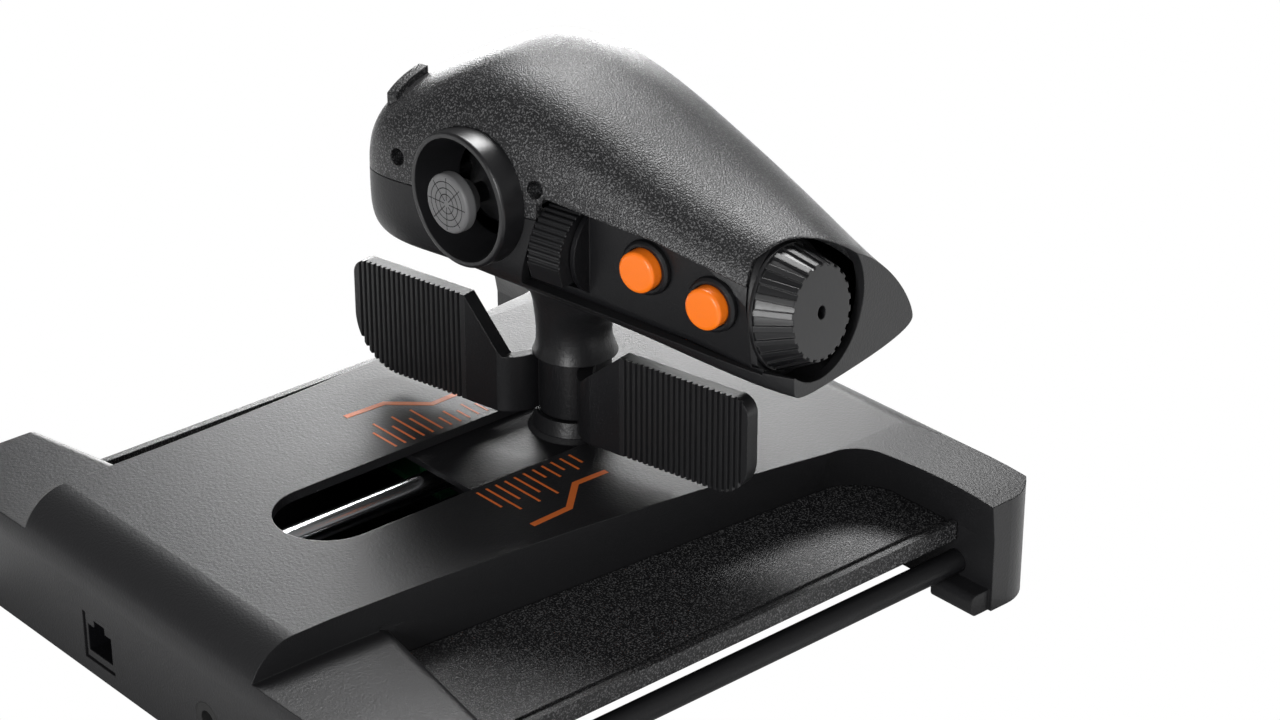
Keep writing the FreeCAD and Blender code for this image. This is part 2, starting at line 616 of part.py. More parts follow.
def gear_rack():
    """Toothed strip on the carriage's left side."""
    back = -CARRIAGE_SIZE[0] / 2
    root = RACK_PITCH_X + 1.25 * TOOTH_MODULE
    tip = RACK_PITCH_X - TOOTH_MODULE
    rear = PINION_Y - SLIDE_FORWARD - 3 * TOOTH_PITCH
    count = int((SLIDE_FORWARD + SLIDE_BACK) / TOOTH_PITCH) + 6
    front = rear + count * TOOTH_PITCH
    bar = box((root, rear, GEAR_LOW), (back, front, GEAR_LOW + GEAR_WIDTH))
    teeth = []
    first = PINION_Y - math.ceil((PINION_Y - rear) / TOOTH_PITCH - 1) * TOOTH_PITCH
    half_pitch = (TOOTH_PITCH / 2 - BACKLASH) / 2
    slope = math.tan(math.radians(20))
    for index in range(count - 1):
        y = first + index * TOOTH_PITCH
        wide = half_pitch + slope * 1.25 * TOOTH_MODULE
        narrow = half_pitch - slope * TOOTH_MODULE
        outline = [(root + 0.05, y - wide), (tip, y - narrow), (tip, y + narrow), (root + 0.05, y + wide)]
        teeth.append(prism([(a, b, GEAR_LOW) for a, b in outline], (0, 0, GEAR_WIDTH)))
    return fuse([bar] + teeth)


def pinion_gear():
    """Small gear on the sensor's shaft, in mesh with the rack."""
    root = PINION_RADIUS - 1.25 * TOOTH_MODULE
    tip = PINION_RADIUS + TOOTH_MODULE
    half_angle = (TOOTH_PITCH / 2 - BACKLASH) / 2 / PINION_RADIUS
    outline = []
    for index in range(PINION_TEETH):
        centre = (index + 0.5) * 2 * math.pi / PINION_TEETH
        for radius, scale in ((root, 1.75), (PINION_RADIUS, 1.0), (tip, 0.42), (tip, -0.42),
                              (PINION_RADIUS, -1.0), (root, -1.75)):
            angle = centre - scale * half_angle
            outline.append((PINION_X + radius * math.cos(angle), PINION_Y + radius * math.sin(angle),
                            GEAR_LOW))
    gear = prism(outline, (0, 0, GEAR_WIDTH))
    boss = rod(root - 1, (PINION_X, PINION_Y, GEAR_LOW + GEAR_WIDTH - 0.1), (PINION_X, PINION_Y,
                                                                             GEAR_LOW + GEAR_WIDTH + 1.5))
    return fuse([gear, boss]).cut(rod(1.5 + RUN, (PINION_X, PINION_Y, 0), (PINION_X, PINION_Y, 60)))


def slide_sensor():
    """Rotary sensor under the pinion."""
    can = box((PINION_X - 6.5, PINION_Y - 7, LEDGE), (PINION_X + 6.5, PINION_Y + 7, GEAR_LOW - 4))
    neck = rod(3.5, (PINION_X, PINION_Y, GEAR_LOW - 4), (PINION_X, PINION_Y, GEAR_LOW - GAP))
    shaft = rod(1.5, (PINION_X, PINION_Y, GEAR_LOW - 4), (PINION_X, PINION_Y, GEAR_LOW + GEAR_WIDTH + 3))
    return fuse([can, neck, shaft])


def friction_screw():
    """Slotted adjuster in the floor."""
    head = rod(FRICTION_HEAD, (0, FRICTION_Y, FOOT_HEIGHT + 0.4), (0, FRICTION_Y, FOOT_HEIGHT + 3.0))
    stem = rod(FRICTION_STEM, (0, FRICTION_Y, FOOT_HEIGHT + 1), (0, FRICTION_Y, CARRIAGE_LOW - 4.4))
    slot = box((-4, FRICTION_Y - 0.6, 0), (4, FRICTION_Y + 0.6, FOOT_HEIGHT + 1.6))
    return fuse([head, stem]).cut(slot)


def friction_pad():
    """Felt pad glued on the adjuster's tip, just under the carriage."""
    low = CARRIAGE_LOW - 4.4
    return rod(5.5, (0, FRICTION_Y, low), (0, FRICTION_Y, CARRIAGE_LOW - 0.7))


# ---------------------------------------------------------------- neck and rudder rocker
def neck_column():
    """Hollow post from the carriage up into the grip."""
    post = rod(NECK_RADIUS, (0, NECK_Y, CARRIAGE_LOW + 3), (0, NECK_Y, PEDESTAL_BOTTOM + 9))
    return post.cut(rod(NECK_RADIUS - 2.2, (0, NECK_Y, 0), (0, NECK_Y, 100)))


def neck_collar():
    """Ring under the rocker's hub."""
    ring = cone(COLLAR_RADIUS + 1, COLLAR_RADIUS, (0, NECK_Y, COVER_TOP + 1.2), (0, NECK_Y, COLLAR_TOP))
    return ring.cut(rod(NECK_RADIUS + FIT, (0, NECK_Y, 0), (0, NECK_Y, 100)))


def rocker_web(sign, inner, start):
    """Arm from the hub to one paddle, as a curved web of full height."""
    face = PADDLE_AHEAD
    back = PADDLE_AHEAD - PADDLE_THICK
    a = V(sign * start, face, 0)
    b = V(sign * inner, face, 0)
    c = V(sign * 6.5, 6.0, 0)
    d = V(sign * 8.0, 1.0, 0)
    e = V(sign * (inner - 1.0), back, 0)
    f = V(sign * start, back, 0)
    outer_mid = V(sign * (0.45 * inner + 2.5), face - 3.2, 0)
    inner_mid = V(sign * (0.55 * inner + 2.2), back - 3.6, 0)
    edges = [Part.LineSegment(a, b).toShape(), Part.Arc(b, outer_mid, c).toShape(), Part.LineSegment(c,
                                                                                                     d).toShape(),
             Part.Arc(d, inner_mid, e).toShape(), Part.LineSegment(e, f).toShape(), Part.LineSegment(f, a).toShape()]
    return edges


def rudder_rocker():
    """Hub on the neck with the two arms that carry the paddles."""
    low = PADDLE_BOTTOM
    hub = rod(HUB_RADIUS, (0, 0, low), (0, 0, HUB_TOP))
    parts = [hub]
    for sign, (inner, start, outer, top) in ((1, PADDLE_LEFT), (-1, PADDLE_RIGHT)):
        web = arc_prism(rocker_web(sign, inner, start), (0, 0, top - low))
        web.translate(V(0, 0, low))
        trim = prism([(0, -40, HUB_TOP), (sign * (PEDESTAL_RADIUS + 1.2), -40, HUB_TOP), (sign * start,
                                                                                          -40, top),
                      (sign * start, -40, top + 30), (0, -40, top + 30)], (0, 80, 0))
        parts.append(largest(web.cut(trim)))
    body = fuse(parts)
    return place_grip(largest(body.cut(rod(NECK_RADIUS + RUN, (0, 0, 0), (0, 0, 100)))))


def paddle(sign, spec):
    """Ribbed finger plate with rounded outer corners."""
    inner, start, outer, top = spec
    low = PADDLE_BOTTOM
    back = PADDLE_AHEAD - PADDLE_THICK
    plate = box((min(sign * start, sign * outer), back, low), (max(sign * start, sign * outer),
                                                               PADDLE_AHEAD, top))
    uprights = [e for e in plate.Edges if abs(e.tangentAt(e.FirstParameter).y) > 0.9
                and abs(abs(e.CenterOfMass.x) - outer) < 0.1]
    low_edge = [e for e in uprights if e.CenterOfMass.z < low + 1]
    top_edge = [e for e in uprights if e.CenterOfMass.z > top - 1]
    plate = plate.makeFillet(4.0, top_edge)
    low_edge = [e for e in plate.Edges if abs(e.tangentAt(e.FirstParameter).y) > 0.9
                and abs(abs(e.CenterOfMass.x) - outer) < 0.1 and e.CenterOfMass.z < low + 1]
    plate = plate.makeFillet(9.0 if sign < 0 else 14.0, low_edge)
    count = int((outer - start - 1.0) / RIB_PITCH)
    grooves = []
    for index in range(count):
        u = start + 1.0 + (index + 0.5) * RIB_PITCH
        half = 0.3 * RIB_PITCH
        tip = 0.12 * RIB_PITCH
        outline = [(sign * (u - half), PADDLE_AHEAD + 0.1), (sign * (u - tip), PADDLE_AHEAD - RIB_DEPTH),
                   (sign * (u + tip), PADDLE_AHEAD - RIB_DEPTH), (sign * (u + half), PADDLE_AHEAD + 0.1)]
        grooves.append(prism([(a, b, low - 1) for a, b in outline], (0, 0, top - low + 2)))
    return place_grip(largest(plate.cut(Part.makeCompound(grooves))))


# ---------------------------------------------------------------- grip housing


def grip_wire(section, inset):
    """One cross-section of the grip as a closed curve."""
    u, front, rear, low, top, ridge, widest, rear_top = section
    front, rear, low, top = front - inset, rear + inset, low + inset, top - inset
    points = []
    steps = 36
    for index in range(steps):
        angle = 2 * math.pi * (index + 0.5) / steps
        c, s = math.cos(angle), math.sin(angle)
        if s > 0:
            power = FRONT_TOP if c > 0 else rear_top
        else:
            power = FRONT_LOW if c > 0 else REAR_LOW
        a = front - ridge if c > 0 else ridge - rear
        b = top - widest if s > 0 else widest - low
        v = ridge + a * math.copysign(abs(c) ** (2 / power), c)
        z = widest + b * math.copysign(abs(s) ** (2 / power), s)
        points.append(V(u, v, z))
    curve = Part.BSplineCurve()
    curve.interpolate(Points=points, PeriodicFlag=True)
    return Part.Wire([curve.toShape()])


def grip_solid(inset):
    """Smooth loft through the sections, shrunk by inset."""
    sections = [list(s) for s in GRIP_SECTIONS]
    sections[0][0] -= inset
    sections[1][0] -= 0.8 * inset
    sections[-1][0] += inset
    return Part.makeLoft([grip_wire(s, inset) for s in sections], True, False)


def grip_rim():
    """Raised rim at the index end, along the front of the top."""
    u, width, top, inner, outer = RIM
    section = list(GRIP_SECTIONS[2])
    section[0], section[4] = u, top
    slab = Part.Face(grip_wire(section, 0.0)).extrude(V(width, 0, 0))
    rim = slab.common(box((u - 1, inner, 110.0), (u + width + 1, outer, top + 5)))
    return largest(rim)


def rounded_wire(z, low_u, high_u, low_v, high_v, radius):
    """Rounded rectangle at height z as a wire."""
    face = box((low_u, low_v, 0), (high_u, high_v, 1))
    uprights = [e for e in face.Edges if abs(e.tangentAt(e.FirstParameter).z) > 0.9]
    face = face.makeFillet(radius, uprights)
    bottom = [f for f in face.Faces if abs(f.CenterOfMass.z) < 0.01][0]
    wire = bottom.OuterWire.copy()
    wire.translate(V(0, 0, z))
    return wire


def pedestal():
    """Funnel that joins the belly of the grip to the neck."""
    r = PEDESTAL_RADIUS
    n = PEDESTAL_RADIUS - 0.8
    wires = [rounded_wire(PEDESTAL_BOTTOM, -r, r, -r, r, r - 0.3),
             rounded_wire(PEDESTAL_BOTTOM + 2.2, -n, n, -n, n, n - 0.3),
             rounded_wire(64.0, -n, n, -n, n, n - 0.3),
             rounded_wire(70.0, -16.0, n, -13.0, 11.0, n),
             rounded_wire(76.0, -29.0, 11.0, -18.0, 14.5, 9.8),
             rounded_wire(84.0, -45.0, 14.0, -24.0, 20.0, 11.0)]
    return Part.makeLoft(wires, True, False)


def seam_region(drop):
    """Everything above the seam between the upper and the lower shell."""
    points = [(u, -80, z - drop) for u, z in SEAM]
    points += [(SEAM[-1][0] - drop, -80, 160), (60.0, -80, 160)]
    return prism(points, (0, 160, 0))


def knob_axis():
    """Start point and direction of the knob's axis, in the grip frame."""
    tilt = math.radians(KNOB_TILT)
    return V(KNOB_BASE_U, KNOB_V, KNOB_Z), V(-math.cos(tilt), 0, math.sin(tilt))


def panel_prism(margin, back, front):
    """Finger panel's outline swept along v between two planes that follow the panel's face."""
    face, slope = PANEL_FACE
    middle_u = sum(u for u, z in PANEL_OUTLINE) / len(PANEL_OUTLINE)
    middle_z = sum(z for u, z in PANEL_OUTLINE) / len(PANEL_OUTLINE)
    outline = []
    for u, z in PANEL_OUTLINE:
        reach = math.hypot(u - middle_u, z - middle_z)
        outline.append((u + margin * (u - middle_u) / reach, z + margin * (z - middle_z) / reach))
    bottom = Part.makePolygon([V(u, face + slope * u + back, z) for u, z in outline + outline[:1]])
    return Part.Face(bottom).extrude(V(0, front - back, 0))


def place_stick(shape):
    """Move a shape from the stick's own frame, where v runs along its axis, to the grip frame."""
    moved = shape.copy()
    moved.translate(V(0, -STICK_PIVOT, 0))
    moved.rotate(V(0, 0, 0), Z_AXIS, -STICK_SWING)
    moved.translate(V(STICK_U, STICK_PIVOT, STICK_Z))
    return moved


def front_cuts():
    """Openings of the finger side, as tools for the housing."""
    start, direction = knob_axis()
    tools = [
        place_stick(rod(BEZEL_RADIUS + FIT, (0, BEZEL_BACK - 8, 0), (0, 60, 0))),
        panel_prism(0.0, -PANEL_THICK - 4.0, 30.0),
        Part.makeCylinder(KNOB_BASE_RADIUS + 1.2, 40, start + direction * -2.2, direction),
        box((-100, KNOB_V + 4, KNOB_Z - 11), (KNOB_BASE_U + 0.6, 60, KNOB_Z + 11)),
        box((ROCKER_U[0] - GAP, 12, 84.5), (ROCKER_U[1] + GAP, 60, 106.0)),
    ]
    return tools


def grip_upper():
    """Upper shell: the speckled dome over the palm."""
    region = seam_region(0.0)
    shell = grip_solid(0.0).cut(grip_solid(GRIP_WALL)).common(region)
    shell = largest(shell).fuse(grip_rim())
    for u, z in SCREW_HOLES:
        boss = rod(SCREW_HEAD + 2.0, (u, 14, z), (u, 26,
                                                  z)).common(grip_solid(GRIP_WALL / 2)).common(region)
        shell = shell.fuse(boss)
    tools = front_cuts() + [rod(SCREW_HEAD + 0.15, (u, 20, z), (u, 40, z)) for u, z in SCREW_HOLES]
    tools += [rod(1.0, (u, 0, z), (u, 40, z)) for u, z in SCREW_HOLES]
    tools.append(thumb_window(0.0, -60.0, THUMB_FACE + THUMB_THICK + 4))
    return place_grip(largest(cut_all(shell, tools)))


def grip_lower():
    """Lower shell: belly, end cap and the funnel down to the neck."""
    outside = grip_solid(0.0)
    funnel = pedestal()
    inside = grip_solid(GRIP_WALL)
    body = outside.fuse(funnel).cut(inside).cut(seam_region(SEAM_GAP))
    body = largest(body)
    tools = front_cuts()
    tools.append(thumb_window(0.0, -60.0, THUMB_FACE + THUMB_THICK + 4))
    tools.append(rod(NECK_RADIUS + FIT, (0, 0, 0), (0, 0, PEDESTAL_BOTTOM + 9)))
    tools.append(rod(NECK_RADIUS - 2.2, (0, 0, 0), (0, 0, 120)))
    return place_grip(largest(cut_all(body, tools)))


def finger_panel():
    """Smooth recessed panel under the fingers."""
    plate = panel_prism(-0.15, -PANEL_THICK, 0.0).common(grip_solid(0.6))
    start, direction = knob_axis()
    tools = [Part.makeCylinder(KNOB_BASE_RADIUS + 1.2, 40, start + direction * -2.2, direction)]
    for u, z in BUTTONS:
        tools.append(rod(BUTTON_RADIUS + 1.6 + FIT, (u, 0, z), (u, 60, z)))
    low_u, high_u = ROCKER_U
    tools.append(box((low_u - GAP, 0, 84.5), (high_u + GAP, 60, 106.0)))
    crest = low_u - GAP - DIVIDER_WIDTH
    face = panel_v(crest) - 0.5
    edges = [Part.LineSegment(V(crest, face, 84.0), V(crest, face, 104.0)).toShape(),
             Part.Arc(V(crest, face, 104.0), V(crest, face + DIVIDER_RISE, 92.0), V(crest, face, 84.0)).toShape()]
    divider = arc_prism(edges, (DIVIDER_WIDTH, 0, 0))
    return place_grip(largest(fuse([largest(cut_all(plate, tools)), divider])))


def panel_v(u):
    """v of the finger panel's face at u."""
    return PANEL_FACE[0] + PANEL_FACE[1] * u


def rocker_switch():
    """Ribbed two-way rocker on a cross axle."""
    low_u, high_u = ROCKER_U
    pivot_v, pivot_z = ROCKER_PIVOT
    length = high_u - low_u
    face_top = V(low_u, 22.6, 104.6)
    face_low = V(low_u, 31.0, 92.6)
    bulge = V(low_u, 29.2, 100.0)
    outline = [V(low_u, pivot_v - 3, 103.6), face_top, face_low, V(low_u, 29.6, 88.2), V(low_u,
                                                                                         pivot_v - 3, 87.2)]
    edges = [Part.LineSegment(outline[0], outline[1]).toShape(), Part.Arc(face_top, bulge,
                                                                          face_low).toShape(),
             Part.LineSegment(outline[2], outline[3]).toShape(), Part.LineSegment(outline[3],
                                                                                  outline[4]).toShape(),
             Part.LineSegment(outline[4], outline[0]).toShape()]
    block = arc_prism(edges, (length, 0, 0))
    arc = Part.Arc(face_top, bulge, face_low)
    grooves = []
    count = 10
    for index in range(count):
        at = arc.value(arc.FirstParameter + (index + 0.5) / count * (arc.LastParameter - arc.FirstParameter))
        grooves.append(rod(0.5, (low_u - 1, at.y, at.z), (high_u + 1, at.y, at.z)))
    bore = rod(ROCKER_AXLE + RUN, (low_u - 1, pivot_v, pivot_z), (high_u + 1, pivot_v, pivot_z))
    return place_grip(largest(cut_all(block, grooves + [bore])))


def rocker_axle():
    """Pin of the rocker in its two-eared bracket."""
    low_u, high_u = ROCKER_U
    v, z = ROCKER_PIVOT
    pin = rod(ROCKER_AXLE, (low_u - 2.2, v, z), (high_u + 2.2, v, z))
    ears = [box((u, v - 7, z - 4), (u + 1.6, v + 1.7, z + 4)) for u in (low_u - 0.4 - 1.6, high_u + 0.4)]
    back = box((low_u - 2.0, v - 7, z - 4), (high_u + 2.0, v - 5.2, z + 4))
    return place_grip(fuse([pin, back] + ears))


def front_button(u, z):
    """Domed push button with a guide stem."""
    face = panel_v(u) + BUTTON_PROUD
    cap = rod(BUTTON_RADIUS, (u, panel_v(u) - 1.0, z), (u, face, z))
    rim = [e for e in cap.Edges if e.Length > 20 and e.CenterOfMass.y > face - 0.1]
    cap = cap.makeFillet(0.9, rim)
    stem = rod(2.0, (u, panel_v(u) - 6.0, z), (u, panel_v(u), z))
    return place_grip(fuse([cap, stem]))


def button_bezels():
    """Two black guide rings round the buttons, with the switches behind them."""
    solids = []
    for u, z in BUTTONS:
        v = panel_v(u)
        ring = rod(BUTTON_RADIUS + 1.6, (u, v - PANEL_THICK - 1.0, z), (u, v + 0.9, z))
        lip = cone(BUTTON_RADIUS + 1.6, BUTTON_RADIUS + 1.0, (u, v + 0.9, z), (u, v + 1.5, z))
        ring = fuse([ring, lip]).cut(rod(BUTTON_RADIUS + 0.25, (u, v - 10, z), (u, v + 10, z)))
        solids.append(ring)
    return place_grip(Part.makeCompound(solids))


def front_switches():
    """Square tact switches behind the buttons, on a small board."""
    solids = []
    reach = 6.0 + BUTTON_TRAVEL + GAP
    for u, z in BUTTONS:
        v = panel_v(u) - reach
        solids.append(box((u - 3, v - 3.5, z - 3), (u + 3, v, z + 3)))
    low_u = min(u for u, z in BUTTONS) - 3
    high_u = max(u for u, z in BUTTONS) + 5
    v = min(panel_v(u) for u, z in BUTTONS) - reach - 3.5
    board = box((low_u, v - 1.5, 87.0), (high_u, v + 0.7, 99.0))
    return place_grip(fuse([board] + solids))


# ---------------------------------------------------------------- knob
def antenna_knob():
    """Ribbed cone with a flat face and a small centre hole."""
    start, direction = knob_axis()
    body = Part.makeCone(KNOB_BASE_RADIUS - 0.5, KNOB_FACE_RADIUS - 0.6, KNOB_LENGTH, V(0, 0, 0), Z_AXIS)
    flange = Part.makeCylinder(KNOB_BASE_RADIUS, 0.9, V(0, 0, 0), Z_AXIS)
    ribs = []
    for index in range(KNOB_RIBS):
        angle = 360.0 * index / KNOB_RIBS
        outline = [(KNOB_BASE_RADIUS - 3.0, 0, 0), (KNOB_BASE_RADIUS, 0, 0), (KNOB_FACE_RADIUS, 0,
                                                                              KNOB_LENGTH), (KNOB_FACE_RADIUS - 3.0, 0, KNOB_LENGTH)]
        rib = prism(outline, (0, 1.5, 0))
        rib.translate(V(0, -0.75, 0))
        rib.rotate(V(0, 0, 0), Z_AXIS, angle)
        ribs.append(rib)
    knob = fuse([body, flange] + ribs)
    knob = knob.cut(Part.makeCylinder(1.6, 3.0, V(0, 0, KNOB_LENGTH - 3.0), Z_AXIS))
    knob = knob.cut(Part.makeCylinder(3.0 + RUN, KNOB_LENGTH - 4.0, V(0, 0, -1), Z_AXIS))
    turn = FreeCAD.Rotation(Z_AXIS, direction)
    knob.Placement = FreeCAD.Placement(start, turn)
    return place_grip(knob)


def knob_sensor():
    """Rotary sensor behind the knob, on a plate that closes the recess."""
    start, direction = knob_axis()
    plate = Part.makeCylinder(KNOB_BASE_RADIUS + 1.0, 1.6, V(0, 0, -2.0), Z_AXIS)
    can = Part.makeCylinder(6.4, 5.6, V(0, 0, -7.5), Z_AXIS)
    shaft = Part.makeCylinder(3.0, KNOB_LENGTH - 4.6, V(0, 0, -1.0), Z_AXIS)
    body = fuse([plate, can, shaft])
    turn = FreeCAD.Rotation(Z_AXIS, direction)
    body.Placement = FreeCAD.Placement(start, turn)
    body = body.common(grip_solid(0.8).fuse(Part.makeSphere(9.0, start)))
    return place_grip(largest(body))


# ---------------------------------------------------------------- mini stick
def stick_bezel():
    """Dished ring round the mini stick."""
    outer = rod(BEZEL_RADIUS, (0, BEZEL_BACK, 0), (0, BEZEL_FRONT, 0))
    rim = [e for e in outer.Edges if e.Length > 50 and e.CenterOfMass.y > BEZEL_FRONT - 0.1]
    outer = outer.makeFillet(0.7, rim)
    bowl = cone(WELL_RADIUS, BEZEL_RADIUS - BEZEL_RIM, (0, BEZEL_BACK - 0.01, 0), (0, BEZEL_FRONT + 0.01,
                                                                                   0))
    return place_grip(place_stick(outer.cut(bowl)))


def stick_module():
    """Housing of the stick's gimbal."""
    half = 11.0
    low = STICK_PIVOT - 8.5
    high = STICK_PIVOT + 3.2
    case = box((-half, low, -half), (half, high, half))
    cavity = rod(YOKE_RADIUS + 1.2, (0, low + 2.5, 0), (0, high + 1, 0))
    pins = []
    for sign in (-1, 1):
        pins.append(rod(1.0, (0, STICK_PIVOT, sign * (YOKE_RADIUS + 0.3)), (0, STICK_PIVOT, sign * half)))
    wings = box((-half - 4.5, high - 2.4, -4), (half + 4.5, high - 0.4, 4)).cut(box((-half, low, -half),
                                                                                    (half, high + 1, half)))
    posts = [rod(1.6, (sign * 14.0, high - 2, 0), (sign * 14.0, BEZEL_BACK, 0)) for sign in (-1, 1)]
    return place_grip(place_stick(fuse([case.cut(cavity), wings] + pins + posts)))


def stick_yoke():
    """Gimbal ring that turns about the vertical."""
    ring = rod(YOKE_RADIUS, (0, STICK_PIVOT - 1.3, 0), (0, STICK_PIVOT + 1.3, 0))
    ring = ring.cut(rod(YOKE_BORE, (0, STICK_PIVOT - 3, 0), (0, STICK_PIVOT + 3, 0)))
    return place_grip(place_stick(ring))


def stick_post():
    """Stem with its hub and the dome that hides the gimbal."""
    hub = rod(4.4, (0, STICK_PIVOT - 2, 0), (0, STICK_PIVOT + 2, 0))
    pins = [rod(1.0, (sign * 4.0, STICK_PIVOT, 0), (sign * (YOKE_BORE - 0.25), STICK_PIVOT,
                                                    0)) for sign in (-1, 1)]
    stem = rod(2.4, (0, STICK_PIVOT, 0), (0, STICK_FRONT - CAP_THICK - 1.8, 0))
    dome = Part.makeSphere(11.0, V(0, STICK_PIVOT - 0.3, 0))
    dome = dome.common(rod(8.3, (0, STICK_PIVOT + 7.2, 0), (0, STICK_PIVOT + 20, 0)))
    return place_grip(place_stick(fuse([hub, stem, dome] + pins)))


def stick_cap():
    """Round cap with a hollow neck that presses down the stem."""
    back = STICK_FRONT - CAP_THICK
    cap = rod(CAP_RADIUS, (0, back, 0), (0, STICK_FRONT, 0))
    rims = [e for e in cap.Edges if e.Length > 30]
    cap = cap.makeFillet(0.8, rims)
    sleeve = rod(4.4, (0, back - 3.2, 0), (0, back + 0.5, 0))
    bore = rod(2.4 + RUN, (0, back - 10, 0), (0, back - 0.6, 0))
    return place_grip(place_stick(fuse([cap, sleeve]).cut(bore)))


# ---------------------------------------------------------------- thumb side
def thumb_window(margin, low_v, high_v):
    """Rounded opening of the thumb panel, swept along v."""
    low_u, high_u, low_z, high_z = THUMB_WINDOW
    block = box((low_u - margin, low_v, low_z - margin), (high_u + margin, high_v, high_z + margin))
    rounds = [e for e in block.Edges if abs(e.tangentAt(e.FirstParameter).y) > 0.9]
    return block.makeFillet(6.0 + margin, rounds)


def thumb_panel():
    """Recessed plate that carries the thumb's controls."""
    plate = thumb_window(-0.15, THUMB_FACE, THUMB_FACE + THUMB_THICK)
    tools = [rod(spec[2] * 0.62 + 0.6, (spec[0], -60, spec[1]), (spec[0], 0,
                                                                 spec[1])) for spec in (POV_HAT, HAT_TWO, HAT_THREE)]
    tools.append(rod(THUMB_BUTTON[2] + 0.25, (THUMB_BUTTON[0], -60, THUMB_BUTTON[1]), (THUMB_BUTTON[0], 0,
                                                                                       THUMB_BUTTON[1])))
    return place_grip(largest(cut_all(plate, tools)))


def hat_cap(spec):
    """Hat with a dished face, raised points and a stem down to its pivot."""
    u, z, radius = spec
    face = THUMB_FACE - 3.8
    cap = cone(radius, radius * 0.9, (0, THUMB_FACE - 1.3, 0), (0, face, 0))
    dish = Part.makeSphere(radius * 2.2, V(0, face - radius * 2.2 + 0.9, 0))
    cap = cap.cut(dish)
    nubs = []
    count = 8 if radius > 6 else 4
    for index in range(count):
        angle = 2 * math.pi * index / count
        x, y = 0.72 * radius * math.cos(angle), 0.72 * radius * math.sin(angle)
        nubs.append(Part.makeSphere(0.13 * radius, V(x, face + 0.45, y)))
    stem = rod(1.5, (0, face + 1.5, 0), (0, HAT_PIVOT + 1.2, 0))
    pin = rod(0.5, (-2.0, HAT_PIVOT, 0), (2.0, HAT_PIVOT, 0))
    body = fuse([cap, stem, pin] + nubs)
    body.translate(V(u, 0, z))
    return place_grip(largest(body))


def hat_frame(spec):
    """Small gimbal ring round a hat's stem."""
    u, z, radius = spec
    disc = rod(3.4, (0, HAT_PIVOT - 0.6, 0), (0, HAT_PIVOT + 0.6, 0))
    ring = fuse([disc, rod(0.5, (0, HAT_PIVOT, -4.0), (0, HAT_PIVOT, 4.0))]).cut(rod(2.3, (0, -60, 0), (0,
                                                                                                        0, 0)))
    ring.translate(V(u, 0, z))
    return place_grip(ring)


def hat_switches():
    """Switch bodies behind the hats and the thumb button, seated on the circuit board."""
    solids = []
    front = THUMB_FACE + THUMB_THICK
    for u, z, radius in (POV_HAT, HAT_TWO, HAT_THREE):
        case = box((u - 5.4, front + 0.2, z - 5.4), (u + 5.4, BOARD_V - BOARD_THICK / 2, z + 5.4))
        cavity = rod(4.3, (u, front - 1, z), (u, HAT_PIVOT + 2.6, z))
        solids.append(case.cut(cavity))
    u, z, radius = THUMB_BUTTON
    solids.append(box((u - 3, front + 5.2, z - 3), (u + 3, BOARD_V - BOARD_THICK / 2, z + 3)))
    inside = grip_solid(GRIP_WALL + GAP)
    return place_grip(Part.makeCompound([largest(solid.common(inside)) for solid in solids]))


def thumb_button():
    """Round push button on the thumb side."""
    u, z, radius = THUMB_BUTTON
    cap = rod(radius, (u, THUMB_FACE + 1.2, z), (u, THUMB_FACE - 2.0, z))
    rim = [e for e in cap.Edges if e.Length > 20 and e.CenterOfMass.y < THUMB_FACE - 1.9]
    cap = cap.makeFillet(0.8, rim)
    stem = rod(1.6, (u, THUMB_FACE + 1.0, z), (u, THUMB_FACE + THUMB_THICK + 3.6, z))
    return place_grip(fuse([cap, stem]))


def grip_board():
    """Circuit board that stands in the grip behind the thumb's switches."""
    board = box((-44, BOARD_V - BOARD_THICK / 2, 84), (36, BOARD_V + BOARD_THICK / 2,
                                                       110)).common(grip_solid(GRIP_WALL + 0.6))
    chip = box((-30, BOARD_V + BOARD_THICK / 2, 90), (-20, BOARD_V + BOARD_THICK / 2 + 1.2, 100))
    return place_grip(fuse([largest(board), chip]))


def grip_screws():
    """Two screws in the counterbores of the finger side."""
    solids = [screw(1.9, 1.5, 0.95, 6.0, (u, 20.0, z), (0, -1, 0)) for u, z in SCREW_HOLES]
    return place_grip(Part.makeCompound(solids))


